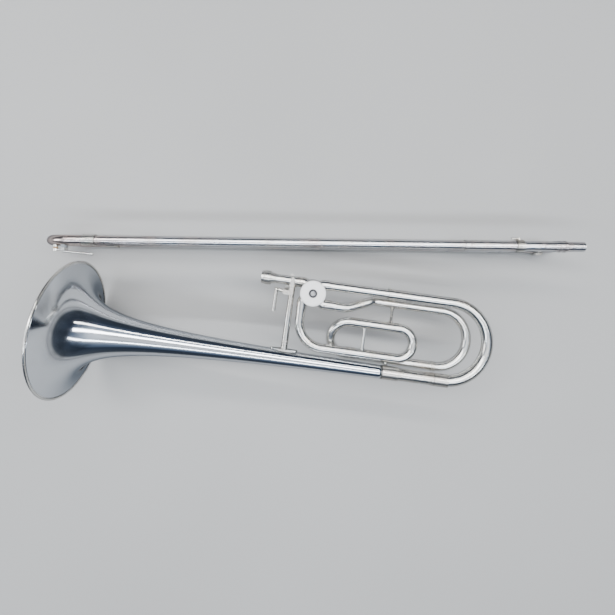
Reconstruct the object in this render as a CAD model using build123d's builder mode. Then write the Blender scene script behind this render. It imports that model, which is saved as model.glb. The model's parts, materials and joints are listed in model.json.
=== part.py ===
"""Tenor-bass trombone taken apart for storage: the bell section with its rotary valve, and the hand slide.

Frame: millimetres. The origin is the middle of the bell receiver's mouth. +X runs along the neck towards
the main tuning slide, +Y from the bell towards the neck, and +Z up through the valve cap. The hand slide
stands on edge beside the bell section, turned a few degrees about Z.
"""
import math
import os

from build123d import *

os.makedirs("parts", exist_ok=True)

# ---- driving dimensions: bell ----
BELL_Y = -125.0             # bell axis, below the neck axis
RIM_X = -292.0
RIM_R = 110.0
FLARE_LENGTH = 18.0         # r = RIM_R * (FLARE_LENGTH / (s + FLARE_LENGTH)) ** FLARE_POWER
FLARE_POWER = 0.7
FLARE_STEPS = 12            # stations of the flare, closest together at the rim
BELL_WALL = 0.7
RIM_WIRE_R = 1.8
TAIL_X = 210.0
TAIL_END_X = 235.0
RECEIVER_END_X = 292.6
CROOK_FERRULE_END_X = 316.0

# ---- driving dimensions: tubing of the bell section ----
NECK_R = 7.5
TUBE_WALL = 0.7
FIT = 0.06                  # radial running clearance of telescoping tubes and pivots
SOLDER = 0.05               # radial gap under ferrules and feet
COLLAR_R = 11.0
RECEIVER_BORE_R = 8.0
RECEIVER_BORE_LENGTH = 20.0
THREAD_R = 9.8

# ---- driving dimensions: rotary valve ----
VALVE_X = 84.0
VALVE_Y = -14.0
CASING_R = 20.0
ROTOR_R = 17.2
PORT_R = 6.4
CASING_BOTTOM = -20.0
CASING_TOP = 19.8
ROTOR_HALF = 15.0
CAP_TOP = 28.0
SHAFT_R = 4.0
STUD_R = 2.0
STOP_ARM_Z = (-30.0, -25.5)
LINK_Z = (-36.0, -32.5)
CORK_ORBIT = 13.0
CORK_R = 2.5
FINGER_ANGLE = -135.0
FINGER_HALF = 2.0

# ---- driving dimensions: slides of the bell section ----
CROOK_R = 62.5
CROOK_X = 309.0
CROOK_MIDDLE_R = 8.9
CROOK_END_R = 9.4
CROOK_WALL = 0.8
SLEEVE_X = 203.5
SLEEVE_R = 8.4
SLEEVE_WALL = 0.9
LOWER_LEG_R = 8.9
F_Z = -19.0
F_UPPER_Y = -15.8
F_LOWER_Y = -108.7
F_SLIDE_X = 298.0
F_LEG_R = 6.7
F_RECEIVER_X = 198.0        # where the bent tubes meet the straight slide receivers
F_BEND_X = 152.0
LOOP_Y = -52.2
LOOP_LOWER_Y = -100.5
LOOP_X = 229.5
RETURN_X = 155.0

# ---- driving dimensions: thumb lever ----
LEVER_X = 40.0
LEVER_Y = -18.0
LEVER_HUB_R = 3.5
PADDLE_Z = 9.0
LEVER_BALL = (46.4, 5.8)
STUD_POINT = (VALVE_X + 6.4, VALVE_Y + 6.4)
EYE_OFFSET = 0.9            # the eye sits a little off the stud, so that the slack is even both ways

# ---- driving dimensions: hand slide, in its own axis w (along), n (sideways) and z ----
SLIDE_ANGLE = 7.1
SLIDE_ORIGIN = (408.6, 106.2)
TOP_Z = -12.0
LEG_SPACING = 86.0
LOW_Z = TOP_Z - LEG_SPACING
INNER_R = 7.0
STOCKING_R = 7.35
STOCKING_LENGTH = 110.0
OUTER_BORE_R = STOCKING_R + FIT
OUTER_R = 7.8
INNER_END_W = -698.0
BOW_JOIN_W = -699.0
BOW_CENTRE_W = -737.4
BOW_R = LEG_SPACING / 2
BOW_OUTER_R = 8.4
BARREL_R = 8.15
BARREL_BORE_R = INNER_R + SOLDER
BARREL_START_W = -8.5
BARREL_END_W = 60.0
MOUTH_END_W = 102.5
MOUTH_BORE_R = 6.35
TENON_R = 7.95
TENON_LENGTH = 19.5
TENON_END_W = 99.5
NUT_W = 65.6
NUT_LENGTH = 14.4
NUT_R = 12.6
NUT_BORE_R = 10.2
NUT_GROOVES = 24
LOCK_W = -2.0
LOCK_TAB_N = 12.2
GRIP_START_W = -91.3
GRIP_END_W = -9.2
INNER_BRACE_W = 31.6
OUTER_BRACE_W = -55.4
KEY_PIVOT_W = -743.0
KEY_PIVOT_Z = -14.0
KEY_SIDE = -14.7
NIPPLE_W = -760.5

slide_frame = Plane(
    origin=(*SLIDE_ORIGIN, 0),
    x_dir=(math.cos(math.radians(SLIDE_ANGLE)), math.sin(math.radians(SLIDE_ANGLE)), 0),
    z_dir=(0, 0, 1),
)


def on_slide(w, n, z):
    """A point of the hand slide, given along, sideways and up, in the row frame."""
    return slide_frame.from_local_coords(Vector(w, n, z))


def bell_radius(x):
    """Outer radius of the bell at x."""
    return RIM_R * (FLARE_LENGTH / (x - RIM_X + FLARE_LENGTH)) ** FLARE_POWER


def tube(start, end, outer, inner=0.0):
    """A round tube, or a rod when inner is 0, between two points."""
    start = Vector(*start)
    run = Vector(*end) - start
    with BuildPart() as solid:
        with BuildSketch(Plane(origin=start, z_dir=run)):
            Circle(outer)
            if inner > 0:
                Circle(inner, mode=Mode.SUBTRACT)
        extrude(amount=run.length)
    return solid.part


def swept(path, outer, inner):
    """A round tube of constant size along a finished line."""
    with BuildPart() as solid:
        with BuildSketch(Plane(origin=path @ 0, z_dir=path % 0)):
            Circle(outer)
            if inner > 0:
                Circle(inner, mode=Mode.SUBTRACT)
        sweep(path=path)
    return solid.part


def routed(points, radii, outer, inner):
    """A round tube along straight runs joined by arcs."""
    with BuildLine() as path:
        FilletPolyline(*points, radius=radii)
    return swept(path.line, outer, inner)


def u_bend(first, last, outward, outer, inner, lead=0.0):
    """A half-circle tube from first to last that bulges towards outward, with straight leads."""
    first = Vector(*first)
    last = Vector(*last)
    outward = Vector(*outward).normalized()
    radius = (last - first).length / 2
    apex = (first + last) * 0.5 + outward * radius
    with BuildLine() as path:
        if lead > 0:
            Line(first - outward * lead, first)
        ThreePointArc(first, apex, last)
        if lead > 0:
            Line(last, last - outward * lead)
    return swept(path.line, outer, inner)


def block(low, high):
    """A box between two opposite corners."""
    size = [b - a for a, b in zip(low, high)]
    middle = [(a + b) / 2 for a, b in zip(low, high)]
    with BuildPart() as solid:
        with Locations(tuple(middle)):
            Box(*size)
    return solid.part


def post_between(start, end, post_r, foot_r, tubes):
    """A brace post with spread feet from one tube's axis to the other's, cut to fit the tubes."""
    start = Vector(*start)
    end = Vector(*end)
    run = end - start
    with BuildPart() as solid:
        with BuildSketch(Plane(origin=start, z_dir=run)):
            Circle(post_r)
        extrude(amount=run.length)
        for origin, direction, radius in ((start, run, tubes[0][2]), (end, run * -1, tubes[1][2])):
            foot_plane = Plane(origin=origin, z_dir=direction)
            with BuildSketch(foot_plane.offset(radius * 0.5)):
                Circle(foot_r)
            extrude(amount=radius * 0.5 + 1.4)
        for low, high, radius in tubes:
            add(tube(low, high, radius + SOLDER), mode=Mode.SUBTRACT)
    return solid.part


def knuckle_path(azimuth, corner, end):
    """Centre line of a valve port: radial out of the rotor, then round a small elbow."""
    start = (
        VALVE_X + 10 * math.cos(math.radians(azimuth)),
        VALVE_Y + 10 * math.sin(math.radians(azimuth)),
        0,
    )
    with BuildLine() as path:
        FilletPolyline(start, (*corner, 0), (*end, 0), radius=11)
    return path.line


def save(solid, name):
    """Label the finished piece and write it to its own file."""
    solid.part.label = name
    export_step(solid.part, f"parts/{name}.step")


# =====================================================================================
# Bell section: the bell, its rim wire and tail
# =====================================================================================
flare_start = RIM_X + 0.2
flare_run = TAIL_X - flare_start
flare_x = [flare_start + flare_run * (step / FLARE_STEPS) ** 2.4 for step in range(FLARE_STEPS + 1)]
outer_points = [(x, BELL_Y + bell_radius(x)) for x in flare_x]
inner_points = [(x, BELL_Y + bell_radius(x + BELL_WALL) - BELL_WALL) for x in flare_x]

with BuildPart() as bell:
    with BuildSketch(Plane.XY):
        with BuildLine():
            outside = Spline(*outer_points)
            inside = Spline(*inner_points)
            Line(outside @ 0, inside @ 0)
            Line(outside @ 1, inside @ 1)
        make_face()
    revolve(axis=Axis((0, BELL_Y, 0), (1, 0, 0)))
    with BuildSketch(Plane.XY):
        with Locations((RIM_X, BELL_Y + RIM_R - RIM_WIRE_R)):
            Circle(RIM_WIRE_R)
    revolve(axis=Axis((0, BELL_Y, 0), (1, 0, 0)), mode=Mode.SUBTRACT)
save(bell, "bell")

with BuildPart() as bell_rim_wire:
    with BuildSketch(Plane.XY):
        with Locations((RIM_X, BELL_Y + RIM_R - RIM_WIRE_R)):
            Circle(RIM_WIRE_R)
    revolve(axis=Axis((0, BELL_Y, 0), (1, 0, 0)))
save(bell_rim_wire, "bell_rim_wire")

TAIL_R = bell_radius(TAIL_X)
RECEIVER_IN_R = LOWER_LEG_R + FIT
FERRULE_R = TAIL_R + 0.5


def on_bell_axis(x0, x1, outer, inner=0.0):
    """A tube on the bell's axis between two stations along it."""
    return tube((x0, BELL_Y, 0), (x1, BELL_Y, 0), outer, inner)


with BuildPart() as bell_tail_ferrule:
    add(on_bell_axis(TAIL_X, TAIL_END_X, FERRULE_R, RECEIVER_IN_R))
    for ring_x in (TAIL_X, TAIL_END_X - 2):
        add(on_bell_axis(ring_x, ring_x + 2, FERRULE_R + 0.4, RECEIVER_IN_R))
save(bell_tail_ferrule, "bell_tail_ferrule")

with BuildPart() as lower_slide_receiver:
    add(on_bell_axis(TAIL_END_X, RECEIVER_END_X, RECEIVER_IN_R + 0.8, RECEIVER_IN_R))
    add(on_bell_axis(RECEIVER_END_X - 4, RECEIVER_END_X, RECEIVER_IN_R + 1.3, RECEIVER_IN_R))
save(lower_slide_receiver, "lower_slide_receiver")

# =====================================================================================
# Bell section: neck, receiver and rotary valve
# =====================================================================================
with BuildPart() as bell_receiver:
    with BuildSketch(Plane.XY):
        with BuildLine():
            Polyline(
                (0, RECEIVER_BORE_R),
                (0, THREAD_R),
                (3, THREAD_R),
                (3, THREAD_R - 0.9),
                (4, THREAD_R - 0.9),
                (4, COLLAR_R - 0.6),
                (4.6, COLLAR_R),
                (14.4, COLLAR_R),
                (15, COLLAR_R - 0.6),
                (15, RECEIVER_BORE_R + 0.5),
                (RECEIVER_BORE_LENGTH, RECEIVER_BORE_R + 0.5),
                (RECEIVER_BORE_LENGTH + 3, NECK_R),
                (RECEIVER_BORE_LENGTH + 3, NECK_R - TUBE_WALL),
                (RECEIVER_BORE_LENGTH, NECK_R - TUBE_WALL),
                (RECEIVER_BORE_LENGTH, RECEIVER_BORE_R),
                close=True,
            )
        make_face()
    revolve(axis=Axis.X)
save(bell_receiver, "bell_receiver")

KNUCKLE = 26.0
KNUCKLE_R = 8.3
PORTS = (
    (135, (VALVE_X - 14, 0), (VALVE_X - KNUCKLE, 0)),
    (45, (VALVE_X + 14, 0), (VALVE_X + KNUCKLE, 0)),
    (-45, (VALVE_X + 17, VALVE_Y - 17), (VALVE_X + 31, VALVE_Y - 17)),
    (-135, (VALVE_X - 15, VALVE_Y - 15), (VALVE_X - 15, VALVE_Y - 28)),
)
port_lines = [knuckle_path(*port) for port in PORTS]

with BuildPart() as neck_tube:
    add(tube((RECEIVER_BORE_LENGTH + 3, 0, 0), (VALVE_X - KNUCKLE, 0, 0), NECK_R, NECK_R - TUBE_WALL))
save(neck_tube, "neck_tube")

with BuildPart() as valve_casing:
    with BuildSketch(Plane.XY.offset(CASING_BOTTOM)):
        with Locations((VALVE_X, VALVE_Y)):
            Circle(CASING_R)
    extrude(amount=CASING_TOP - CASING_BOTTOM)
    with BuildSketch(Plane.XY.offset(CASING_TOP)):
        with Locations((VALVE_X, VALVE_Y)):
            Circle(CASING_R - 1.4)
    extrude(amount=4)
    for line in port_lines:
        add(swept(line, KNUCKLE_R, 0))
    for line in port_lines:
        add(swept(line, NECK_R - TUBE_WALL, 0), mode=Mode.SUBTRACT)
    with BuildSketch(Plane.XY.offset(-ROTOR_HALF - 0.2)):
        with Locations((VALVE_X, VALVE_Y)):
            Circle(ROTOR_R + FIT)
    extrude(amount=60, mode=Mode.SUBTRACT)
    with BuildSketch(Plane.XY.offset(CASING_BOTTOM - 1)):
        with Locations((VALVE_X, VALVE_Y)):
            Circle(SHAFT_R + FIT)
    extrude(amount=10, mode=Mode.SUBTRACT)
save(valve_casing, "valve_casing")

with BuildPart() as valve_rotor:
    with BuildSketch(Plane.XY.offset(-ROTOR_HALF)):
        with Locations((VALVE_X, VALVE_Y)):
            Circle(ROTOR_R)
    extrude(amount=2 * ROTOR_HALF)
    with BuildSketch(Plane.XY.offset(STOP_ARM_Z[0])):
        with Locations((VALVE_X, VALVE_Y)):
            Circle(SHAFT_R)
    extrude(amount=19 - STOP_ARM_Z[0])
    for side in (1, -1):
        reach = ROTOR_R * math.sqrt(2) * side
        with BuildLine() as passage:
            ThreePointArc(
                (VALVE_X - ROTOR_R * math.sqrt(0.5), VALVE_Y + reach / 2, 0),
                (VALVE_X, VALVE_Y + reach - ROTOR_R * side, 0),
                (VALVE_X + ROTOR_R * math.sqrt(0.5), VALVE_Y + reach / 2, 0),
            )
        add(swept(passage.line, PORT_R, 0), mode=Mode.SUBTRACT)
save(valve_rotor, "valve_rotor")

with BuildPart() as valve_bearing_plate:
    add(tube((VALVE_X, VALVE_Y, ROTOR_HALF + 0.3), (VALVE_X, VALVE_Y, 20), ROTOR_R, SHAFT_R + FIT))
save(valve_bearing_plate, "valve_bearing_plate")

with BuildPart() as valve_cap:
    with BuildSketch(Plane.XZ.offset(-VALVE_Y)):
        with BuildLine():
            Polyline(
                (VALVE_X + 6.6, 24.6),
                (VALVE_X + 6.6, CAP_TOP - 0.6),
                (VALVE_X + 7.2, CAP_TOP),
                (VALVE_X + CASING_R - 2.2, CAP_TOP),
                (VALVE_X + CASING_R - 0.6, CAP_TOP - 0.7),
                (VALVE_X + CASING_R, CAP_TOP - 2.2),
                (VALVE_X + CASING_R, CASING_TOP + 0.2),
                (VALVE_X + CASING_R - 1.35, CASING_TOP + 0.2),
                (VALVE_X + CASING_R - 1.35, 24.6),
                close=True,
            )
        make_face()
    revolve(axis=Axis((VALVE_X, VALVE_Y, 0), (0, 0, 1)))
save(valve_cap, "valve_cap")

with BuildPart() as cap_centre:
    add(tube((VALVE_X, VALVE_Y, 20.2), (VALVE_X, VALVE_Y, 26), 6.4))
    add(tube((VALVE_X, VALVE_Y, 26), (VALVE_X, VALVE_Y, CAP_TOP - 0.2), 4.3))
save(cap_centre, "cap_centre")

# ---- stop arm, corks and cork plate under the valve ----
finger = math.radians(FINGER_ANGLE)
finger_gap = math.degrees((CORK_R + FINGER_HALF + 0.35) / CORK_ORBIT)
cork_angles = [math.radians(FINGER_ANGLE - finger_gap), math.radians(FINGER_ANGLE + 90 + finger_gap)]


def round_valve(radius, angle):
    """A point at a radius and an angle round the valve's axis."""
    return (VALVE_X + radius * math.cos(angle), VALVE_Y + radius * math.sin(angle))


cork_points = [round_valve(CORK_ORBIT, angle) for angle in cork_angles]
finger_tip = round_valve(CORK_ORBIT + 2, finger)
with BuildPart() as stop_arm:
    with BuildSketch(Plane.XY.offset(STOP_ARM_Z[0])):
        with Locations((VALVE_X, VALVE_Y)):
            Circle(6.5)
        for tip, width in ((STUD_POINT, 6.4), (finger_tip, 2 * FINGER_HALF)):
            reach = Vector(tip[0] - VALVE_X, tip[1] - VALVE_Y)
            with Locations((VALVE_X + reach.X / 2, VALVE_Y + reach.Y / 2)):
                SlotCenterToCenter(reach.length, width, rotation=math.degrees(math.atan2(reach.Y, reach.X)))
        with Locations((VALVE_X, VALVE_Y)):
            Circle(SHAFT_R, mode=Mode.SUBTRACT)
    extrude(amount=STOP_ARM_Z[1] - STOP_ARM_Z[0])
    add(tube((*STUD_POINT, LINK_Z[0] - 0.5), (*STUD_POINT, STOP_ARM_Z[0]), STUD_R))
    add(tube((*STUD_POINT, LINK_Z[0] - 1.5), (*STUD_POINT, LINK_Z[0] - 0.5), STUD_R + 2.2))
save(stop_arm, "stop_arm")

with BuildPart() as stop_arm_screw:
    add(tube((VALVE_X, VALVE_Y, STOP_ARM_Z[0] - 2.0), (VALVE_X, VALVE_Y, STOP_ARM_Z[0]), 3.6))
    add(block((VALVE_X - 5, VALVE_Y - 0.4, -40), (VALVE_X + 5, VALVE_Y + 0.4, -31.2)), mode=Mode.SUBTRACT)
save(stop_arm_screw, "stop_arm_screw")

with BuildPart() as cork_plate:
    with BuildSketch(Plane.XY.offset(CASING_BOTTOM - 2.5)):
        with Locations((VALVE_X, VALVE_Y)):
            Circle(CORK_ORBIT + 4)
            Circle(CORK_ORBIT - 4.5, mode=Mode.SUBTRACT)
        with Locations((VALVE_X, VALVE_Y + 16)):
            Rectangle(60, 30, mode=Mode.SUBTRACT)
    extrude(amount=2.5)
save(cork_plate, "cork_plate")

with BuildPart() as stop_corks:
    for x, y in cork_points:
        add(tube((x, y, STOP_ARM_Z[0]), (x, y, CASING_BOTTOM - 2.5), CORK_R))
save(stop_corks, "stop_corks")

# =====================================================================================
# Thumb lever, its saddle, spring and link
# =====================================================================================
with BuildPart() as lever_saddle:
    with BuildSketch(Plane.XY.offset(NECK_R + 4.5)):
        with Locations((50, -8)):
            SlotCenterToCenter(22, 6, rotation=90)
        with Locations((45, -18.5)):
            SlotCenterToCenter(10, 7)
        with Locations((LEVER_X, LEVER_Y)):
            Circle(1.6, mode=Mode.SUBTRACT)
    extrude(amount=2.4)
    add(block((47, -4.5, 5.5), (53, 3, NECK_R + 5)))
    add(tube((40, 0, 0), (60, 0, 0), NECK_R + SOLDER), mode=Mode.SUBTRACT)
save(lever_saddle, "lever_saddle")

with BuildPart() as saddle_screw:
    add(tube((50, -17, NECK_R + 6.9), (50, -17, NECK_R + 8.7), 2.6))
    add(block((49.6, -20, NECK_R + 8.0), (50.4, -14, NECK_R + 9.5)), mode=Mode.SUBTRACT)
save(saddle_screw, "saddle_screw")

with BuildPart() as lever_pivot_screw:
    add(tube((LEVER_X, LEVER_Y, -32), (LEVER_X, LEVER_Y, NECK_R + 6.9), 1.6))
    add(tube((LEVER_X, LEVER_Y, NECK_R + 6.9), (LEVER_X, LEVER_Y, NECK_R + 8.9), 3.1))
    slot_low = (LEVER_X - 4, LEVER_Y - 0.4, NECK_R + 8.2)
    add(block(slot_low, (LEVER_X + 4, LEVER_Y + 0.4, 20)), mode=Mode.SUBTRACT)
save(lever_pivot_screw, "lever_pivot_screw")

with BuildPart() as thumb_lever:
    add(tube((LEVER_X, LEVER_Y, STOP_ARM_Z[0]), (LEVER_X, LEVER_Y, NECK_R + 4.2), LEVER_HUB_R))
    add(tube((LEVER_X, LEVER_Y, PADDLE_Z), (29.3, -16, PADDLE_Z), 2.6))
    with Locations((26.3, -16, PADDLE_Z)):
        Sphere(3.4)
    with BuildSketch(Plane.XY.offset(STOP_ARM_Z[0])):
        with Locations(((LEVER_X + LEVER_BALL[0]) / 2, (LEVER_Y + LEVER_BALL[1]) / 2)):
            SlotCenterToCenter(
                math.hypot(LEVER_BALL[0] - LEVER_X, LEVER_BALL[1] - LEVER_Y),
                6.4,
                rotation=math.degrees(math.atan2(LEVER_BALL[1] - LEVER_Y, LEVER_BALL[0] - LEVER_X)),
            )
    extrude(amount=3.5)
    add(tube((*LEVER_BALL, LINK_Z[0] - 0.5), (*LEVER_BALL, STOP_ARM_Z[0]), STUD_R))
    add(tube((*LEVER_BALL, LINK_Z[0] - 1.5), (*LEVER_BALL, LINK_Z[0] - 0.5), STUD_R + 1.2))
    add(tube((LEVER_X, LEVER_Y, -40), (LEVER_X, LEVER_Y, 20), 1.6 + FIT), mode=Mode.SUBTRACT)
save(thumb_lever, "thumb_lever")

with BuildPart() as thumb_paddle:
    add(tube((26.3, -17.5, PADDLE_Z), (26.3, -50.5, PADDLE_Z), 2.8))
    with Locations((26.3, -16, PADDLE_Z)):
        Sphere(3.4 + SOLDER, mode=Mode.SUBTRACT)
save(thumb_paddle, "thumb_paddle")

with BuildPart() as lever_spring:
    for turn in range(4):
        with BuildSketch(Plane.XZ.offset(-LEVER_Y)):
            with Locations((LEVER_X + LEVER_HUB_R + 0.9, -20 + 1.5 * turn)):
                Circle(0.6)
        revolve(axis=Axis((LEVER_X, LEVER_Y, 0), (0, 0, 1)))
save(lever_spring, "lever_spring")

eye = (STUD_POINT[0], STUD_POINT[1] + EYE_OFFSET)
link_angle = math.degrees(math.atan2(eye[1] - LEVER_BALL[1], eye[0] - LEVER_BALL[0]))
link_length = math.hypot(eye[0] - LEVER_BALL[0], eye[1] - LEVER_BALL[1])
with BuildPart() as link_rod:
    with BuildSketch(Plane.XY.offset(LINK_Z[0])):
        with Locations(((eye[0] + LEVER_BALL[0]) / 2, (eye[1] + LEVER_BALL[1]) / 2)):
            Rectangle(link_length, 3.2, rotation=link_angle)
        with Locations(LEVER_BALL):
            Circle(4)
        with Locations(eye):
            Circle(5.2)
        with Locations(LEVER_BALL):
            Circle(STUD_R + FIT, mode=Mode.SUBTRACT)
        with Locations(eye):
            Circle(STUD_R + EYE_OFFSET + 0.35, mode=Mode.SUBTRACT)
    extrude(amount=LINK_Z[1] - LINK_Z[0])
save(link_rod, "link_rod")

# =====================================================================================
# Hand brace between neck and bell
# =====================================================================================
BRACE_X = 50.5
BRACE_TOP_R = 4.5
BRACE_FOOT_R = 5.4
BRACE_BELL_R = bell_radius(BRACE_X)
BRACE_TOP_Y = -NECK_R - 1.6
BRACE_FOOT_Y = BELL_Y + BRACE_BELL_R + 2
with BuildPart() as hand_brace:
    with BuildSketch(Plane.XY):
        with BuildLine():
            Polyline(
                (BRACE_X, BRACE_TOP_Y),
                (BRACE_X + BRACE_TOP_R, BRACE_TOP_Y),
                (BRACE_X + BRACE_FOOT_R, BRACE_FOOT_Y),
                (BRACE_X, BRACE_FOOT_Y),
                close=True,
            )
        make_face()
    revolve(axis=Axis((BRACE_X, 0, 0), (0, 1, 0)))
save(hand_brace, "hand_brace")

with BuildPart() as brace_flanges:
    with BuildSketch(Plane.XZ.offset(-BRACE_FOOT_Y)):
        with Locations((BRACE_X, 0)):
            Ellipse(22, 6)
    extrude(amount=4)
    with BuildSketch(Plane.XY):
        with BuildLine():
            Polyline(
                (BRACE_X - 23, BELL_Y),
                (BRACE_X - 23, BELL_Y + bell_radius(BRACE_X - 23) + SOLDER),
                (BRACE_X + 23, BELL_Y + bell_radius(BRACE_X + 23) + SOLDER),
                (BRACE_X + 23, BELL_Y),
                close=True,
            )
        make_face()
    revolve(axis=Axis((0, BELL_Y, 0), (1, 0, 0)), mode=Mode.SUBTRACT)
    with BuildSketch(Plane.XZ.offset(-BRACE_TOP_Y)):
        with Locations((BRACE_X, 0)):
            Ellipse(6.6, 5.2)
    extrude(amount=-4)
    add(tube((0, 0, 0), (90, 0, 0), NECK_R + SOLDER), mode=Mode.SUBTRACT)
save(brace_flanges, "brace_flanges")

# =====================================================================================
# Fixed tubing after the valve: main upper leg and the F wrap
# =====================================================================================
with BuildPart() as main_upper_leg:
    add(tube((VALVE_X + KNUCKLE, 0, 0), (300, 0, 0), SLEEVE_R - SLEEVE_WALL - FIT, 6.8))
save(main_upper_leg, "main_upper_leg")

f_start = (VALVE_X + 31, VALVE_Y - 17, 0)
f_slope = ((140, -31.3, -3), (161, -24.6, -9.5), (181, -16.8, -16))
with BuildPart() as f_upper_tube:
    with BuildLine() as f_upper_path:
        Spline(f_start, *f_slope, (F_RECEIVER_X, F_UPPER_Y, F_Z), tangents=((1, 0, 0), (1, 0, 0)))
    add(swept(f_upper_path.line, NECK_R, NECK_R - TUBE_WALL))
save(f_upper_tube, "f_upper_tube")

with BuildPart() as f_slide_receivers:
    for leg_y in (F_UPPER_Y, F_LOWER_Y):
        add(tube((F_RECEIVER_X, leg_y, F_Z), (F_SLIDE_X, leg_y, F_Z), NECK_R, F_LEG_R + FIT))
save(f_slide_receivers, "f_slide_receivers")

with BuildPart() as f_left_bend:
    add(tube((F_RECEIVER_X, F_LOWER_Y, F_Z), (F_BEND_X, F_LOWER_Y, F_Z), NECK_R, NECK_R - TUBE_WALL))
    left_lower = Vector(F_BEND_X, F_LOWER_Y, F_Z)
    left_upper = Vector(F_BEND_X, LOOP_Y, 0)
    add(u_bend(left_lower, left_upper, (-1, 0, 0), NECK_R, NECK_R - TUBE_WALL))
save(f_left_bend, "f_left_bend")

with BuildPart() as f_small_loop:
    add(tube((F_BEND_X, LOOP_Y, 0), (LOOP_X, LOOP_Y, 0), NECK_R, NECK_R - TUBE_WALL))
    add(u_bend((LOOP_X, LOOP_Y, 0), (LOOP_X, LOOP_LOWER_Y, 0), (1, 0, 0), NECK_R, NECK_R - TUBE_WALL))
    add(tube((LOOP_X, LOOP_LOWER_Y, 0), (RETURN_X, LOOP_LOWER_Y, 0), NECK_R, NECK_R - TUBE_WALL))
save(f_small_loop, "f_small_loop")

with BuildPart() as f_return_tube:
    add(
        routed(
            [(RETURN_X, LOOP_LOWER_Y, 0), (VALVE_X - 15, LOOP_LOWER_Y, 0), (VALVE_X - 15, VALVE_Y - 28, 0)],
            [40],
            NECK_R,
            NECK_R - TUBE_WALL,
        )
    )
save(f_return_tube, "f_return_tube")

with BuildPart() as wrap_ferrules:
    ferrules = (
        (221.5, LOOP_Y, 0, 5),
        (148, LOOP_LOWER_Y, 0, 14.6),
        (292, F_UPPER_Y, F_Z, 6),
        (292, F_LOWER_Y, F_Z, 6),
    )
    for start_x, tube_y, tube_z, length in ferrules:
        end = (start_x + length, tube_y, tube_z)
        add(tube((start_x, tube_y, tube_z), end, NECK_R + 0.65, NECK_R + SOLDER))
save(wrap_ferrules, "wrap_ferrules")

def cross_brace(x, first, last, radii, post_r, lean=0.0):
    """A short post across the wrap at x, between two tubes given by y, z."""
    tubes = [((x - 15, *end), (x + 15, *end), radius) for end, radius in zip((first, last), radii)]
    return post_between((x + lean, *first), (x, *last), post_r, post_r + 1.5, tubes)


with BuildPart() as wrap_braces:
    add(cross_brace(214, (F_UPPER_Y, F_Z), (LOOP_Y, 0), (NECK_R, NECK_R), 2.3, lean=3.5))
    add(cross_brace(174.6, (LOOP_Y, 0), (LOOP_LOWER_Y, 0), (NECK_R, NECK_R), 2.3))
    add(cross_brace(217, (F_LOWER_Y, F_Z), (BELL_Y, 0), (NECK_R, FERRULE_R), 3.0))
save(wrap_braces, "wrap_braces")

# =====================================================================================
# Main tuning slide
# =====================================================================================
with BuildPart() as main_upper_sleeve:
    add(tube((SLEEVE_X, 0, 0), (CROOK_X, 0, 0), SLEEVE_R, SLEEVE_R - SLEEVE_WALL))
save(main_upper_sleeve, "main_upper_sleeve")

with BuildPart() as main_lower_leg:
    add(on_bell_axis(TAIL_X + 2, RECEIVER_END_X + 1, LOWER_LEG_R, LOWER_LEG_R - TUBE_WALL))
save(main_lower_leg, "main_lower_leg")

crook_top = Vector(CROOK_X, 0, 0)
crook_bottom = Vector(CROOK_X, BELL_Y, 0)
with BuildPart() as main_crook:
    with BuildLine() as crook_path:
        crook_arc = ThreePointArc(crook_top, (CROOK_X + CROOK_R, -CROOK_R, 0), crook_bottom)
    for mode, inset in ((Mode.ADD, 0.0), (Mode.SUBTRACT, CROOK_WALL)):
        with BuildSketch(Plane(origin=crook_arc @ 0, z_dir=crook_arc % 0)):
            Circle(SLEEVE_R - inset)
        with BuildSketch(Plane(origin=crook_arc @ 0.5, z_dir=crook_arc % 0.5)):
            Circle(CROOK_MIDDLE_R - inset)
        with BuildSketch(Plane(origin=crook_arc @ 1, z_dir=crook_arc % 1)):
            Circle(CROOK_END_R - inset)
        sweep(path=crook_path.line, multisection=True, mode=mode)
    add(on_bell_axis(RECEIVER_END_X + 1, CROOK_X, CROOK_END_R, CROOK_END_R - CROOK_WALL))
save(main_crook, "main_crook")

with BuildPart() as main_slide_ferrules:
    add(tube((SLEEVE_X, 0, 0), (SLEEVE_X + 4.5, 0, 0), SLEEVE_R + 0.6, SLEEVE_R + SOLDER))
    add(on_bell_axis(RECEIVER_END_X + 0.6, CROOK_X, CROOK_END_R + 1, CROOK_END_R + SOLDER))
    add(on_bell_axis(CROOK_X, CROOK_FERRULE_END_X, CROOK_END_R + 1, CROOK_END_R + 0.55))
save(main_slide_ferrules, "main_slide_ferrules")

# =====================================================================================
# F tuning slide
# =====================================================================================
with BuildPart() as f_crook:
    add(
        u_bend(
            (F_SLIDE_X + 0.6, F_UPPER_Y, F_Z),
            (F_SLIDE_X + 0.6, F_LOWER_Y, F_Z),
            (1, 0, 0),
            NECK_R,
            NECK_R - TUBE_WALL,
        )
    )
save(f_crook, "f_crook")

with BuildPart() as f_slide_legs:
    for leg_y in (F_UPPER_Y, F_LOWER_Y):
        add(tube((210, leg_y, F_Z), (F_SLIDE_X + 0.6, leg_y, F_Z), F_LEG_R, F_LEG_R - 0.7))
save(f_slide_legs, "f_slide_legs")

# =====================================================================================
# Hand slide: inner slide
# =====================================================================================
LEGS = (TOP_Z, LOW_Z)


def leg_tube(leg_z, w0, w1, outer, inner=0.0):
    """A tube on one of the hand slide's two legs, between two stations along it."""
    return tube(on_slide(w0, 0, leg_z), on_slide(w1, 0, leg_z), outer, inner)


with BuildPart() as inner_slide_tubes:
    for leg_z in LEGS:
        add(leg_tube(leg_z, INNER_END_W, BARREL_END_W, INNER_R, INNER_R - 0.3))
save(inner_slide_tubes, "inner_slide_tubes")

with BuildPart() as stockings:
    for leg_z in LEGS:
        add(leg_tube(leg_z, INNER_END_W, INNER_END_W + STOCKING_LENGTH, STOCKING_R, INNER_R))
save(stockings, "stockings")

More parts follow.
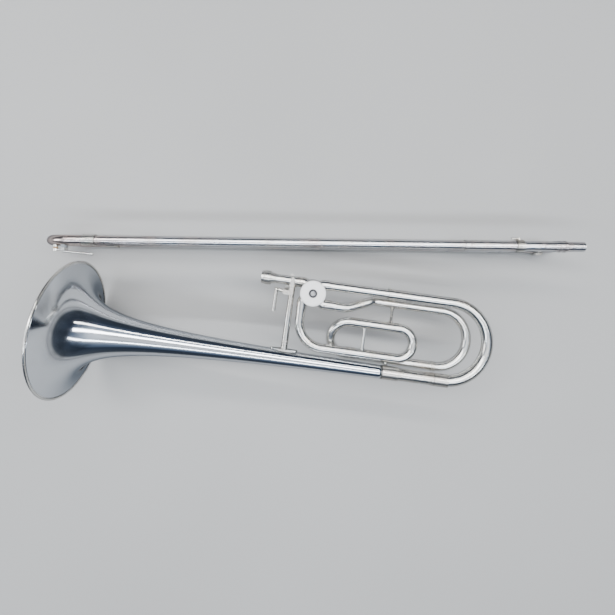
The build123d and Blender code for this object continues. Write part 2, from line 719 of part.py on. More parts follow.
with BuildPart() as cork_barrels:
    for leg_z in LEGS:
        add(leg_tube(leg_z, BARREL_START_W, BARREL_END_W, BARREL_R, BARREL_BORE_R))
        add(leg_tube(leg_z, 4.2, 7, BARREL_R + 0.7, BARREL_BORE_R))
        add(leg_tube(leg_z, BARREL_END_W - 6, BARREL_END_W, BARREL_R + 0.7, BARREL_BORE_R))
save(cork_barrels, "cork_barrels")

with BuildPart() as inner_brace:
    add(
        post_between(
            on_slide(INNER_BRACE_W, 0, TOP_Z),
            on_slide(INNER_BRACE_W, 0, LOW_Z),
            4.6,
            6.2,
            [(on_slide(15, 0, leg_z), on_slide(48, 0, leg_z), BARREL_R) for leg_z in LEGS],
        )
    )
save(inner_brace, "inner_brace")

with BuildPart() as mouthpiece_receiver:
    add(leg_tube(TOP_Z, BARREL_END_W, MOUTH_END_W, 8.0, MOUTH_BORE_R))
    add(leg_tube(TOP_Z, BARREL_END_W, BARREL_END_W + 14, 8.9, MOUTH_BORE_R))
    for ring_w in (BARREL_END_W + 1.6, BARREL_END_W + 10):
        add(leg_tube(TOP_Z, ring_w, ring_w + 2.5, 9.6, MOUTH_BORE_R))
save(mouthpiece_receiver, "mouthpiece_receiver")

with BuildPart() as slide_tenon:
    add(leg_tube(LOW_Z, TENON_END_W - TENON_LENGTH, TENON_END_W, TENON_R, INNER_R - 0.2))
    add(leg_tube(LOW_Z, BARREL_END_W, TENON_END_W - TENON_LENGTH, TENON_R - 0.2, INNER_R - 0.2))
    add(leg_tube(LOW_Z, BARREL_END_W, BARREL_END_W + 5, 9.6, INNER_R - 0.2))
save(slide_tenon, "slide_tenon")

# =====================================================================================
# Hand slide: slide-lock ring and slide nut
# =====================================================================================
with BuildPart() as slide_lock_ring:
    add(leg_tube(TOP_Z, LOCK_W - 5.6, LOCK_W + 5.8, 10.2, BARREL_R + 0.3))
    add(leg_tube(TOP_Z, LOCK_W - 3.5, LOCK_W - 1.5, 10.8, BARREL_R + 0.3))
    add(tube(on_slide(LOCK_W, 9.6, TOP_Z), on_slide(LOCK_W, 13.5, TOP_Z), 2.2))
    add(tube(on_slide(LOCK_W, LOCK_TAB_N, TOP_Z), on_slide(LOCK_W - 13, LOCK_TAB_N, TOP_Z), 1.5))
save(slide_lock_ring, "slide_lock_ring")

with BuildPart() as slide_nut:
    add(leg_tube(LOW_Z, NUT_W, NUT_W + NUT_LENGTH, NUT_R, NUT_BORE_R))
    add(leg_tube(LOW_Z, NUT_W, NUT_W + 2.9, NUT_R, TENON_R + 0.3))
    for step in range(NUT_GROOVES):
        angle = 2 * math.pi * step / NUT_GROOVES
        n = (NUT_R + 0.1) * math.cos(angle)
        z = LOW_Z + (NUT_R + 0.1) * math.sin(angle)
        groove = tube(on_slide(NUT_W + 1.4, n, z), on_slide(NUT_W + NUT_LENGTH - 1.4, n, z), 0.7)
        add(groove, mode=Mode.SUBTRACT)
save(slide_nut, "slide_nut")

# =====================================================================================
# Hand slide: outer slide
# =====================================================================================
with BuildPart() as outer_slide_tubes:
    for leg_z in LEGS:
        add(leg_tube(leg_z, BOW_JOIN_W, GRIP_END_W, OUTER_R, OUTER_BORE_R))
save(outer_slide_tubes, "outer_slide_tubes")

GRIP_RING_R = OUTER_R + 1.1
with BuildPart() as grip_sleeves:
    for leg_z in LEGS:
        add(leg_tube(leg_z, GRIP_START_W, GRIP_END_W, OUTER_R + 0.6, OUTER_R + SOLDER))
        for ring_w, width in ((GRIP_START_W, 3.0), (GRIP_END_W - 4.3, 4.3)):
            add(leg_tube(leg_z, ring_w, ring_w + width, GRIP_RING_R, OUTER_R + SOLDER))
save(grip_sleeves, "grip_sleeves")

with BuildPart() as outer_brace:
    add(
        post_between(
            on_slide(OUTER_BRACE_W, 0, TOP_Z),
            on_slide(OUTER_BRACE_W, 0, LOW_Z),
            4.6,
            6.4,
            [(on_slide(-78, 0, leg_z), on_slide(-33, 0, leg_z), OUTER_R + 0.6) for leg_z in LEGS],
        )
    )
save(outer_brace, "outer_brace")

FERRULE_END_W = -691.0
with BuildPart() as bow_ferrules:
    for leg_z in LEGS:
        add(leg_tube(leg_z, -712, FERRULE_END_W, BOW_OUTER_R + 0.6, BOW_OUTER_R + SOLDER))
        add(leg_tube(leg_z, BOW_JOIN_W, FERRULE_END_W, BOW_OUTER_R + 0.6, OUTER_R + SOLDER))
        add(leg_tube(leg_z, FERRULE_END_W - 2.5, FERRULE_END_W, BOW_OUTER_R + 1.0, OUTER_R + SOLDER))
save(bow_ferrules, "bow_ferrules")

bow_out = on_slide(BOW_CENTRE_W - 1, 0, 0) - on_slide(BOW_CENTRE_W, 0, 0)
with BuildPart() as slide_bow:
    add(
        u_bend(
            on_slide(BOW_CENTRE_W, 0, TOP_Z),
            on_slide(BOW_CENTRE_W, 0, LOW_Z),
            bow_out,
            BOW_OUTER_R,
            OUTER_BORE_R,
            lead=BOW_JOIN_W - BOW_CENTRE_W,
        )
    )
save(slide_bow, "slide_bow")

BOW_TIP_W = BOW_CENTRE_W - BOW_R - BOW_OUTER_R
BOW_MID_Z = (TOP_Z + LOW_Z) / 2
with BuildPart() as bumper_holder:
    add(tube(on_slide(BOW_TIP_W - 3.2, 0, BOW_MID_Z), on_slide(BOW_TIP_W + 3, 0, BOW_MID_Z), 5.2))
    with BuildLine() as bow_line:
        ThreePointArc(
            on_slide(BOW_CENTRE_W, 0, TOP_Z),
            on_slide(BOW_CENTRE_W - BOW_R, 0, BOW_MID_Z),
            on_slide(BOW_CENTRE_W, 0, LOW_Z),
        )
    add(swept(bow_line.line, BOW_OUTER_R + SOLDER, 0), mode=Mode.SUBTRACT)
save(bumper_holder, "bumper_holder")

with BuildPart() as bow_bumper:
    add(tube(on_slide(BOW_TIP_W - 7.2, 0, BOW_MID_Z), on_slide(BOW_TIP_W - 3.2, 0, BOW_MID_Z), 4.2))
save(bow_bumper, "bow_bumper")

# =====================================================================================
# Water key on the side of the bow
# =====================================================================================
nipple_turn = math.asin((BOW_CENTRE_W - NIPPLE_W) / BOW_R)
NIPPLE_Z = BOW_MID_Z + BOW_R * math.cos(nipple_turn)
NIPPLE_END_N = -10.8
CORK_LENGTH = 2.8
CORK_PAD_R = 3.8
PAD_R = CORK_PAD_R + 0.4
PAD_N = NIPPLE_END_N - 0.3 - CORK_LENGTH
EAR_GAP = 3.5
HUB_HALF = EAR_GAP - 0.3
PIN_R = 1.2

with BuildPart() as bow_envelope:
    add(swept(bow_line.line, BOW_OUTER_R + SOLDER, 0))
    add(leg_tube(TOP_Z, BOW_CENTRE_W, BOW_CENTRE_W + 20, BOW_OUTER_R + SOLDER))


def key_rod(first, last, radius):
    """A round rod of the water key between two points of the hand slide."""
    return tube(on_slide(*first), on_slide(*last), radius)


with BuildPart() as water_key_nipple:
    add(tube(on_slide(NIPPLE_W, -4, NIPPLE_Z), on_slide(NIPPLE_W, NIPPLE_END_N, NIPPLE_Z), 3.6, 1.8))
    add(bow_envelope.part, mode=Mode.SUBTRACT)
save(water_key_nipple, "water_key_nipple")

pivot_low = (KEY_PIVOT_W, KEY_SIDE, KEY_PIVOT_Z - EAR_GAP - 3.2)
pivot_high = (KEY_PIVOT_W, KEY_SIDE, KEY_PIVOT_Z + EAR_GAP + 2)
with BuildPart() as water_key_saddle:
    for ear in (KEY_PIVOT_Z - EAR_GAP - 2, KEY_PIVOT_Z + EAR_GAP):
        ear_origin = on_slide(KEY_PIVOT_W, 0, ear)
        with BuildSketch(Plane(origin=ear_origin, x_dir=slide_frame.x_dir, z_dir=(0, 0, 1))):
            with BuildLine():
                Polyline((-4, -2), (4, -2), (2.4, KEY_SIDE - 2.4), (-2.4, KEY_SIDE - 2.4), close=True)
            make_face()
        extrude(amount=2)
    add(bow_envelope.part, mode=Mode.SUBTRACT)
    add(key_rod(pivot_low, pivot_high, PIN_R), mode=Mode.SUBTRACT)
save(water_key_saddle, "water_key_saddle")

with BuildPart() as water_key_screw:
    add(key_rod(pivot_low, pivot_high, PIN_R))
    add(key_rod(pivot_high, (KEY_PIVOT_W, KEY_SIDE, pivot_high[2] + 1.4), 2.2))
save(water_key_screw, "water_key_screw")

pivot = (KEY_PIVOT_W, KEY_SIDE, KEY_PIVOT_Z)
pad_face = (NIPPLE_W, PAD_N, NIPPLE_Z)
pad_centre = (NIPPLE_W, PAD_N - 2.2, NIPPLE_Z)
lever_root = (KEY_PIVOT_W - 2, KEY_SIDE - 4.1, KEY_PIVOT_Z)
lever_tip = (-698, KEY_SIDE - 7.9, KEY_PIVOT_Z)
with BuildPart() as water_key:
    add(key_rod((*pivot[:2], KEY_PIVOT_Z - HUB_HALF), (*pivot[:2], KEY_PIVOT_Z + HUB_HALF), 2.5))
    add(key_rod(pad_centre, pivot, 1.7))
    add(key_rod(pad_face, (NIPPLE_W, PAD_N - 4.0, NIPPLE_Z), PAD_R))
    add(key_rod((NIPPLE_W, PAD_N + 1, NIPPLE_Z), pad_face, PAD_R), mode=Mode.SUBTRACT)
    add(key_rod(pivot, lever_root, 1.9))
    with Locations(on_slide(*lever_root)):
        Sphere(1.9)
    add(key_rod(lever_root, lever_tip, 1.8))
    with Locations(on_slide(*lever_tip)):
        Sphere(2.3)
    add(key_rod(pivot_low, pivot_high, PIN_R + FIT), mode=Mode.SUBTRACT)
save(water_key, "water_key")

with BuildPart() as water_key_cork:
    add(key_rod((NIPPLE_W, NIPPLE_END_N - 0.3, NIPPLE_Z), pad_face, CORK_PAD_R))
save(water_key_cork, "water_key_cork")
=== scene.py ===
"""Looks of the trombone: materials, floor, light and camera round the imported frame. Metres."""
import json
import math

import bmesh
import bpy
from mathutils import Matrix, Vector


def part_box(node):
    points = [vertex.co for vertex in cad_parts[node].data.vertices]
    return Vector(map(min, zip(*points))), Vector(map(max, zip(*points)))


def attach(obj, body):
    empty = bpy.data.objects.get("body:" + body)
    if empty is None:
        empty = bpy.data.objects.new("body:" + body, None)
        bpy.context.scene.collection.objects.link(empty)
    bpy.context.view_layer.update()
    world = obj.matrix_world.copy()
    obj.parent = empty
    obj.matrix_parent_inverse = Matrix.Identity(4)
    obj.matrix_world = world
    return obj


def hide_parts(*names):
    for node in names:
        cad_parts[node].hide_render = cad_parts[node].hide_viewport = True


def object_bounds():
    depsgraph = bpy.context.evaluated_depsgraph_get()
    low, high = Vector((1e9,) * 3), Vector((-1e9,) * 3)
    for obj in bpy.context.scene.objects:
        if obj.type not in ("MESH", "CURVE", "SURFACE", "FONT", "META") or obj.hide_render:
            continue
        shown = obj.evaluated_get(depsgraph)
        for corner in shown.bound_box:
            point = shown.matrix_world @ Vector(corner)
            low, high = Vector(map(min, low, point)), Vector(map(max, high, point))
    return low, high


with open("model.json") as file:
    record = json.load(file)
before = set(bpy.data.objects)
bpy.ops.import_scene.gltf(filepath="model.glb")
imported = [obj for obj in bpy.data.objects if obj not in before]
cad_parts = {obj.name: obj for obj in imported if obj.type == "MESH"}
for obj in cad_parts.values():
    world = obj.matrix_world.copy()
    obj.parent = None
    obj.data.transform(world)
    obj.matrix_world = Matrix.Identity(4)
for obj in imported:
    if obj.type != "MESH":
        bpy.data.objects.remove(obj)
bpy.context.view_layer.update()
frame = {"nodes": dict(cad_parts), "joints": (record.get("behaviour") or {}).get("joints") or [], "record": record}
record = frame["record"]

# ---- places read from the frame ----
joints = {joint["name"]: joint for joint in frame["joints"]}
SLIDE_OUT = Vector(joints["hand_slide_travel"]["axis"]).normalized()
SLIDE_TURN = math.atan2(-SLIDE_OUT.y, -SLIDE_OUT.x)
VALVE_AXIS = (*joints["rotor_turn"]["pos_m"][:2], 0.0)
LEVER = Vector(joints["lever_press"]["pos_m"])
SLIDE_END = -Vector(joints["water_key_press"]["pos_m"]).dot(SLIDE_OUT)

# ---- camera and stage ----
ROW_TURN = math.radians(7.9)        # the neck runs this far down to the right in the view
CAMERA_AT = (0.0689, 0.0330, 0.667)
FOCAL_SHARE = 417 / 615             # focal length as a share of the frame's width
SENSOR = 36.0
VIEW_SHIFT = -0.074
BACKDROP = (0.26, 0.265, 0.27)
# painted light: the paler colour the floor is painted far off, where the lamps don't reach
FAR_FLOOR_PAINTED_LIGHT = (0.95, 0.90, 0.84)
SKY_STRENGTH = 1.7
FLOOR_SIZE = 40
PALER_FROM, PALER_TO = 0.9, 5.0     # painted light: the floor is painted paler between these distances, where the lamps give less light
MIDDLE = (0.05, -0.05, 0.0)
LIGHTS = (                          # name, place, length, width, watts, aim, colour
    ("overhead", (0.10, 0.50, 2.2), 3.9, 0.40, 76, MIDDLE, (1.0, 1.0, 1.0)),
    ("strip_far", (0.10, 1.35, 1.75), 3.9, 0.12, 27, MIDDLE, (1.0, 0.97, 0.92)),
    ("strip_near", (0.10, -0.95, 1.9), 3.9, 0.14, 32, MIDDLE, (0.9, 0.95, 1.0)),
    ("left", (-1.9, -0.3, 0.9), 0.7, 0.9, 14, (0.0, -0.05, 0.0), (1.0, 1.0, 1.0)),
)


def add_camera():
    """A camera that looks straight down on the level bell section."""
    data = bpy.data.cameras.new("camera")
    data.sensor_width = SENSOR
    data.lens = SENSOR * FOCAL_SHARE
    data.shift_y = VIEW_SHIFT
    camera = bpy.data.objects.new("camera", data)
    bpy.context.scene.collection.objects.link(camera)
    camera.location = CAMERA_AT
    camera.rotation_euler = (0, 0, ROW_TURN)
    bpy.context.scene.camera = camera


def area_light(name, location, size, size_y, power, aim, colour):
    """A rectangular soft light turned towards a point."""
    data = bpy.data.lights.new(name, "AREA")
    data.shape = "RECTANGLE"
    data.size = size
    data.size_y = size_y
    data.energy = power
    data.color = colour
    light = bpy.data.objects.new(name, data)
    bpy.context.scene.collection.objects.link(light)
    light.location = location
    light.rotation_euler = (Vector(aim) - Vector(location)).to_track_quat("-Z", "Y").to_euler()


class Tree:
    """Short calls for building a node tree."""

    def __init__(self, tree):
        self.tree = tree

    def add(self, kind, **settings):
        """A new node with its settings."""
        node = self.tree.nodes.new(kind)
        for key, value in settings.items():
            setattr(node, key, value)
        return node

    def link(self, source, target):
        self.tree.links.new(source, target)

    def coordinates(self, scale=(1, 1, 1), turn=0.0, origin=(0, 0, 0)):
        """Object coordinates, turned about Z, counted from an origin and scaled.

        The turn lets a pattern run along a tube.
        """
        place = self.add("ShaderNodeTexCoord")
        turned = self.add("ShaderNodeMapping")
        turned.inputs["Location"].default_value = tuple(-value for value in origin)
        turned.inputs["Rotation"].default_value = (0, 0, -turn)
        self.link(place.outputs["Object"], turned.inputs["Vector"])
        scaled = self.add("ShaderNodeMapping")
        scaled.inputs["Scale"].default_value = scale
        self.link(turned.outputs["Vector"], scaled.inputs["Vector"])
        return scaled.outputs["Vector"]

    def noise(self, vector, scale, detail=4.0, roughness=0.55):
        """A noise's value, 0 to 1."""
        node = self.add("ShaderNodeTexNoise")
        node.inputs["Scale"].default_value = scale
        node.inputs["Detail"].default_value = detail
        node.inputs["Roughness"].default_value = roughness
        self.link(vector, node.inputs["Vector"])
        return node.outputs["Fac"]

    def ramp(self, source, stops):
        """A colour ramp; each stop is a position and a colour or a grey."""
        node = self.add("ShaderNodeValToRGB")
        elements = node.color_ramp.elements
        while len(elements) < len(stops):
            elements.new(0.5)
        for element, (position, colour) in zip(elements, stops):
            element.position = position
            grey = (colour, colour, colour) if isinstance(colour, (int, float)) else colour
            element.color = (*grey, 1)
        self.link(source, node.inputs["Fac"])
        return node.outputs["Color"]

    def mix(self, factor, first, second, blend="MIX"):
        """Mixes two colours; each may be a socket or a plain colour."""
        node = self.add("ShaderNodeMix", data_type="RGBA", blend_type=blend)
        for index, value in ((0, factor), (6, first), (7, second)):
            if isinstance(value, bpy.types.NodeSocket):
                self.link(value, node.inputs[index])
            else:
                node.inputs[index].default_value = (*value, 1) if isinstance(value, tuple) else value
        return node.outputs[2]

    def spread(self, source, low, high, start=0.3, stop=0.7):
        """Maps the middle of a noise to a range of values."""
        node = self.add("ShaderNodeMapRange")
        node.inputs["From Min"].default_value = start
        node.inputs["From Max"].default_value = stop
        node.inputs["To Min"].default_value = low
        node.inputs["To Max"].default_value = high
        self.link(source, node.inputs["Value"])
        return node.outputs["Result"]

    def length(self, vector):
        """A vector's length."""
        node = self.add("ShaderNodeVectorMath", operation="LENGTH")
        self.link(vector, node.inputs[0])
        return node.outputs["Value"]

    def bump(self, height, strength, distance, shader):
        """Gives a shader's surface the relief of a pattern."""
        node = self.add("ShaderNodeBump")
        node.inputs["Strength"].default_value = strength
        node.inputs["Distance"].default_value = distance
        self.link(height, node.inputs["Height"])
        self.link(node.outputs["Normal"], shader.inputs["Normal"])


def new_material(name):
    """A node material, its tree helper and its shader."""
    material = bpy.data.materials.new(name)
    material.use_nodes = True
    tree = material.node_tree
    return material, Tree(tree), tree.nodes["Principled BSDF"]


def add_world():
    """A studio sky, bright overhead with a dark band round the sides, behind a plain pale backdrop."""
    world = bpy.data.worlds.new("studio")
    world.use_nodes = True
    bpy.context.scene.world = world
    tree = Tree(world.node_tree)
    background = world.node_tree.nodes["Background"]
    place = tree.add("ShaderNodeTexCoord")
    parts = tree.add("ShaderNodeSeparateXYZ")
    tree.link(place.outputs["Generated"], parts.inputs["Vector"])
    height = tree.spread(parts.outputs["Z"], 0.0, 1.0, -1.0, 1.0)
    sky = tree.ramp(height, (
        (0.0, (0.42, 0.42, 0.42)),
        (0.515, (0.40, 0.41, 0.42)),
        (0.56, (0.05, 0.06, 0.075)),
        (0.78, (0.025, 0.035, 0.055)),
        (0.87, (0.12, 0.16, 0.23)),
        (0.94, (0.42, 0.49, 0.60)),
        (0.98, (0.80, 0.85, 0.92)),
        (1.0, (0.92, 0.94, 0.98)),
    ))
    patches = tree.noise(place.outputs["Generated"], 2.6, 3.0)
    shade = tree.ramp(patches, ((0.36, 0.45), (0.60, 1.0)))
    studio = tree.mix(0.75, sky, shade, "MULTIPLY")
    rays = tree.add("ShaderNodeLightPath")
    seen = tree.mix(rays.outputs["Is Camera Ray"], studio, BACKDROP)
    tree.link(seen, background.inputs["Color"])
    background.inputs["Strength"].default_value = SKY_STRENGTH


def add_floor():
    """A plain floor under the lowest point of the part, with painted light: paler far away, where the lights don't
    reach.
    """
    bpy.ops.mesh.primitive_plane_add(size=FLOOR_SIZE, location=(MIDDLE[0], 0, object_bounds()[0][2]))
    floor = bpy.context.object
    floor.name = "floor"
    material, tree, shader = new_material("pale_floor")
    vector = tree.coordinates()
    tint = tree.ramp(tree.noise(vector, 1.5, 2.0), ((0.3, (0.43, 0.43, 0.425)), (0.7, (0.46, 0.46, 0.455))))
    # painted light: the floor is painted paler with distance from its middle, standing in for light the lamps
    # don't give
    painted_far_light = tree.spread(tree.length(vector), 0.0, 1.0, PALER_FROM, PALER_TO)
    tree.link(tree.mix(painted_far_light, tint, FAR_FLOOR_PAINTED_LIGHT), shader.inputs["Base Color"])
    shader.inputs["Roughness"].default_value = 0.9
    shader.inputs["Specular IOR Level"].default_value = 0.1
    floor.data.materials.append(material)


# ---- materials ----
WARM_STAIN = (0.50, 0.41, 0.30)
ROSE_STAIN = (0.48, 0.38, 0.34)
ROSE_BLUSH = (0.60, 0.50, 0.46)
GREY_STAIN = (0.46, 0.46, 0.46)
EDGE_TINT = (0.22, 0.24, 0.27)      # darkens a metal where it turns away, so that it stands off the floor
BLUSH_LENGTH = 0.17                 # how far the tarnish reaches from the slide's end
# the button's edge; past it the cap's centre is painted dark as the groove's shade
RIVET_R = 0.0038


def metal(name, clean, stained, gloss, stain=0.5, grain=1.0, turn=0.0, lines=(6, 900, 900), blush=None):
    """Plated metal: faint stains, hairline scratches along the tube, worn patches in the gloss.

    The gloss is the roughness where the metal is polished and where it is dull. A blush is a tarnish
    colour and the two places along the tube between which it fades out.
    """
    material, tree, shader = new_material(name)
    plain = tree.coordinates(turn=turn)
    along = tree.coordinates(lines, turn)
    clouds = tree.noise(plain, 26.0, 6.0, 0.62)
    specks = tree.noise(plain, 310.0, 5.0, 0.7)
    hairs = tree.noise(along, 1.0, 3.0, 0.6)
    stain_map = tree.ramp(clouds, ((0.46, 0.0), (0.72, stain)))
    base = tree.mix(stain_map, clean, stained)
    if blush:
        colour, start, stop = blush
        parts = tree.add("ShaderNodeSeparateXYZ")
        tree.link(plain, parts.inputs["Vector"])
        base = tree.mix(tree.spread(parts.outputs["X"], 0.8, 0.0, start, stop), base, colour)
    speck_map = tree.ramp(specks, ((0.60, 0.0), (0.74, 0.55 * stain)))
    spotted = tree.mix(speck_map, base, tuple(0.55 * channel for channel in stained))
    tree.link(spotted, shader.inputs["Base Color"])
    roughness = tree.add("ShaderNodeMath", operation="ADD")
    tree.link(tree.spread(clouds, *gloss), roughness.inputs[0])
    tree.link(tree.spread(hairs, 0.0, 0.07 * grain), roughness.inputs[1])
    tree.link(roughness.outputs["Value"], shader.inputs["Roughness"])
    shader.inputs["Metallic"].default_value = 1.0
    shader.inputs["Specular Tint"].default_value = (*EDGE_TINT, 1)
    tree.bump(hairs, 0.12 * grain, 0.0002, shader)
    return material


def satin_cap_material():
    """The turned cap: near-white satin silver with fine turning rings about the valve's axis."""
    material, tree, shader = new_material("satin_cap")
    rings = tree.add("ShaderNodeTexWave", wave_type="RINGS", rings_direction="Z")
    rings.inputs["Scale"].default_value = 420.0
    rings.inputs["Distortion"].default_value = 0.6
    rings.inputs["Detail"].default_value = 2.0
    tree.link(tree.coordinates(origin=VALVE_AXIS), rings.inputs["Vector"])
    clouds = tree.noise(tree.coordinates(), 90.0, 5.0, 0.6)
    colour = tree.ramp(clouds, ((0.35, (0.93, 0.93, 0.91)), (0.62, (0.97, 0.97, 0.965))))
    tree.link(colour, shader.inputs["Base Color"])
    tree.link(tree.spread(clouds, 0.42, 0.56), shader.inputs["Roughness"])
    shader.inputs["Metallic"].default_value = 0.08
    tree.bump(rings.outputs["Fac"], 0.25, 0.0001, shader)
    return material


def rivet_material(name, outer, inner, edge_r):
    """The cap's centre: a worn bright button, with the groove round it painted dark as shade."""
    material, tree, shader = new_material(name)
    reach = tree.length(tree.coordinates((1, 1, 0), origin=VALVE_AXIS))
    # painted shade: past the button's edge the colour turns to the dark outer colour, standing in for the shade in
    # the groove
    groove_painted_shade = tree.spread(reach, 0.0, 1.0, edge_r - 0.0004, edge_r + 0.0002)
    specks = tree.noise(tree.coordinates(), 700.0, 5.0, 0.7)
    worn = tree.mix(tree.ramp(specks, ((0.42, 0.0), (0.62, 0.7))), inner, outer)
    tree.link(tree.mix(groove_painted_shade, worn, outer), shader.inputs["Base Color"])
    tree.link(tree.spread(specks, 0.28, 0.5), shader.inputs["Roughness"])
    shader.inputs["Metallic"].default_value = 0.8
    return material


def dull_material(name, dark, light, scale, roughness, depth):
    """Rubber or cork: two tones of grain with matching pits."""
    material, tree, shader = new_material(name)
    grains = tree.noise(tree.coordinates(), scale, 6.0, 0.7)
    tree.link(tree.ramp(grains, ((0.38, dark), (0.62, light))), shader.inputs["Base Color"])
    tree.link(tree.spread(grains, roughness + 0.12, roughness - 0.08), shader.inputs["Roughness"])
    tree.bump(grains, 0.5, depth, shader)
    return material


materials = {
    "silver_plate": metal("silver_plate", (0.68, 0.68, 0.66), WARM_STAIN, (0.15, 0.25), stain=0.42),
    "silver_bell": metal("silver_bell", (0.62, 0.65, 0.69), GREY_STAIN, (0.05, 0.12), stain=0.22, grain=0.5),
    "slide_silver": metal(
        "slide_silver", (0.66, 0.67, 0.69), ROSE_STAIN, (0.14, 0.25), stain=0.60, grain=1.2,
        turn=SLIDE_TURN, lines=(5, 700, 700), blush=(ROSE_BLUSH, SLIDE_END, SLIDE_END + BLUSH_LENGTH),
    ),
    "nickel_ferrule": metal(
        "nickel_ferrule", (0.60, 0.59, 0.56), (0.42, 0.35, 0.27), (0.18, 0.30), stain=0.6
    ),
    "chrome_stocking": metal(
        "chrome_stocking", (0.60, 0.62, 0.66), (0.40, 0.39, 0.37), (0.05, 0.10), stain=0.2, grain=0.5,
        turn=SLIDE_TURN,
    ),
    "steel_hardware": metal(
        "steel_hardware", (0.58, 0.57, 0.55), (0.30, 0.24, 0.18), (0.28, 0.45), stain=0.7
    ),
    # the dark outer colour is painted shade for the cap's groove, and also the colour of the button's specks
    "cap_rivet": rivet_material("cap_rivet", (0.05, 0.05, 0.055), (0.46, 0.47, 0.49), RIVET_R),
    "satin_cap": satin_cap_material(),
    "black_rubber": dull_material(
        "black_rubber", (0.012, 0.012, 0.012), (0.035, 0.034, 0.033), 420, 0.62, 0.0002
    ),
    "cork": dull_material("cork", (0.20, 0.11, 0.05), (0.52, 0.36, 0.20), 520, 0.8, 0.0003),
}


# ---- looks of each node ----
SLIDE_NODES = (
    "outer_slide_tubes", "grip_sleeves", "slide_bow", "cork_barrels", "mouthpiece_receiver",
    "inner_slide_tubes", "slide_tenon", "outer_brace", "inner_brace",
)
slots = {row["node"]: row["material_slot"] for row in record["subparts"]}
looks = dict(slots)
looks["cap_centre"] = "cap_rivet"
looks["bell_receiver"] = "nickel_ferrule"
for node in SLIDE_NODES:
    looks[node] = "slide_silver"
for node, piece in frame["nodes"].items():
    piece.data.materials.clear()
    piece.data.materials.append(materials[looks[node]])


# ---- pieces built in the scene ----
FLARE_LENGTH = 0.018                # the flare curve and wall of the CAD's bell
FLARE_POWER = 0.7
BELL_WALL = 0.0007
BELL_STATIONS = 170
STATION_POWER = 2.1                 # crowds the stations towards the rim
BELL_AROUND = 288
SHEET_START = 0.0002                # from the middle of the rim wire
WIRE_GAP = 0.00002
SPRING_WIRE_R = 0.0005
SPRING_INSET = 0.0006               # from the side of the CAD spring to the middle of the wire
SPRING_TURNS = 4.25
SPRING_LEGS = ((-0.001, -0.004, 0), (0.004, -0.001, 0))
COIL_STEPS = 28                     # points in one turn of a coil
BUMPER_ROUNDING = 0.0014
BUMPER_STEPS = 8
BUMPER_AROUND = 48


def piece_from(bm, name, node, body):
    """Turns a mesh into a smooth piece that stands for a CAD node and rides on its body."""
    mesh = bpy.data.meshes.new(name)
    bmesh.ops.recalc_face_normals(bm, faces=bm.faces)
    bm.to_mesh(mesh)
    bm.free()
    for face in mesh.polygons:
        face.use_smooth = True
    mesh.materials.append(materials[looks[node]])
    piece = bpy.data.objects.new(name, mesh)
    bpy.context.scene.collection.objects.link(piece)
    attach(piece, body)
    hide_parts(node)
    return piece


def spokes_about(axis):
    """An axis at unit length, and a function for the unit spoke at an angle about it."""
    axis = Vector(axis).normalized()
    side = axis.orthogonal().normalized()
    other = axis.cross(side)

    def spoke(angle):
        return side * math.cos(angle) + other * math.sin(angle)

    return axis, spoke


def lathe(profile, origin, axis, around, closed):
    """Revolves points (along, radius) about an axis."""
    axis, spoke = spokes_about(axis)
    bm = bmesh.new()
    rings = []
    for along, radius in profile:
        ring = []
        for step in range(around):
            reach = spoke(2 * math.pi * step / around) * radius
            ring.append(bm.verts.new(Vector(origin) + axis * along + reach))
        rings.append(ring)
    pairs = list(zip(rings, rings[1:]))
    if closed:
        pairs.append((rings[-1], rings[0]))
    else:
        bm.faces.new(rings[0])
        bm.faces.new(rings[-1])
    for ring, after in pairs:
        for step in range(around):
            nxt = (step + 1) % around
            bm.faces.new((ring[step], ring[nxt], after[nxt], after[step]))
    return bm


def build_bell():
    """The bell as one fine spun sheet, on the CAD's own flare curve."""
    far_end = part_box("bell")[1].x
    wire_low, wire_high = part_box("bell_rim_wire")
    wire_r = (wire_high.x - wire_low.x) / 2
    rim_x = (wire_low.x + wire_high.x) / 2
    axis_y = (wire_low.y + wire_high.y) / 2
    rim_r = (wire_high.y - wire_low.y) / 2
    start = rim_x + SHEET_START
    shares = [(station / BELL_STATIONS) ** STATION_POWER for station in range(BELL_STATIONS + 1)]
    xs = [start + (far_end - start) * share for share in shares]

    def radius(x):
        return rim_r * (FLARE_LENGTH / (x - rim_x + FLARE_LENGTH)) ** FLARE_POWER

    clear = wire_r + WIRE_GAP
    centre_r = rim_r - wire_r

    def off_wire(x, r, sign):
        """Keeps the sheet's end against the rim wire, not inside it."""
        gap = math.hypot(x - rim_x, r - centre_r)
        return gap > clear or sign * (r - centre_r) > clear

    outside = [(x, radius(x)) for x in xs if off_wire(x, radius(x), 1)]
    inside = [(x, radius(x + BELL_WALL) - BELL_WALL) for x in xs]
    inside = [(x, r) for x, r in inside if off_wire(x, r, -1)]
    profile = outside + inside[::-1]
    sheet = lathe(profile, (0, axis_y, 0), (1, 0, 0), BELL_AROUND, True)
    piece_from(sheet, "bell_sheet", "bell", "bell_section")


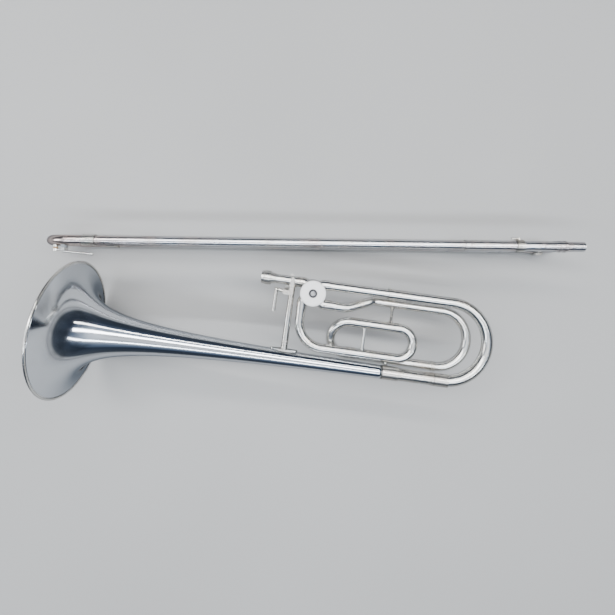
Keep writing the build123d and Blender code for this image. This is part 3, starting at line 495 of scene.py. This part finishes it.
def coil(centre, axis, radius, wire, low, high, turns, legs):
    """A wound wire spring with two straight legs, as a swept curve turned into a mesh."""
    axis, spoke = spokes_about(axis)
    steps = int(turns * COIL_STEPS)
    points = []
    for step in range(steps + 1):
        share = step / steps
        reach = spoke(2 * math.pi * turns * share) * radius
        points.append(Vector(centre) + axis * (low + (high - low) * share) + reach)
    points = [points[0] + Vector(legs[0])] + points + [points[-1] + Vector(legs[1])]
    data = bpy.data.curves.new("coil", "CURVE")
    data.dimensions = "3D"
    data.bevel_depth = wire
    data.bevel_resolution = 4
    data.use_fill_caps = True
    spline = data.splines.new("POLY")
    spline.points.add(len(points) - 1)
    for place, point in zip(spline.points, points):
        place.co = (*point, 1)
    holder = bpy.data.objects.new("coil", data)
    bpy.context.scene.collection.objects.link(holder)
    bpy.context.view_layer.update()
    depsgraph = bpy.context.evaluated_depsgraph_get()
    mesh = bpy.data.meshes.new_from_object(holder.evaluated_get(depsgraph))
    bm = bmesh.new()
    bm.from_mesh(mesh)
    bpy.data.objects.remove(holder)
    return bm


def build_lever_spring():
    """The lever's return spring as one wound wire."""
    low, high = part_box("lever_spring")
    radius = (high.x - low.x) / 2 - SPRING_INSET
    first, last = low.z + SPRING_WIRE_R, high.z - SPRING_WIRE_R
    centre = (LEVER.x, LEVER.y, 0)
    bm = coil(centre, (0, 0, 1), radius, SPRING_WIRE_R, first, last, SPRING_TURNS, SPRING_LEGS)
    piece_from(bm, "lever_spring_coil", "lever_spring", "bell_section")


def build_bumper():
    """The bow's rubber foot with a rounded end."""
    low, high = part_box("bow_bumper")
    centre = (low + high) / 2
    radius = (high.z - low.z) / 2
    half = ((high.x - low.x) / 2 - radius * abs(SLIDE_OUT.y)) / abs(SLIDE_OUT.x)
    profile = [(-half, radius)]
    for step in range(BUMPER_STEPS + 1):
        angle = math.pi / 2 * step / BUMPER_STEPS
        along = half - BUMPER_ROUNDING + BUMPER_ROUNDING * math.sin(angle)
        profile.append((along, radius - BUMPER_ROUNDING + BUMPER_ROUNDING * math.cos(angle)))
    foot = lathe(profile, centre, SLIDE_OUT, BUMPER_AROUND, False)
    piece_from(foot, "bumper_foot", "bow_bumper", "outer_slide")


build_bell()
build_lever_spring()
build_bumper()
add_camera()
add_world()
add_floor()
for light in LIGHTS:
    area_light(*light)
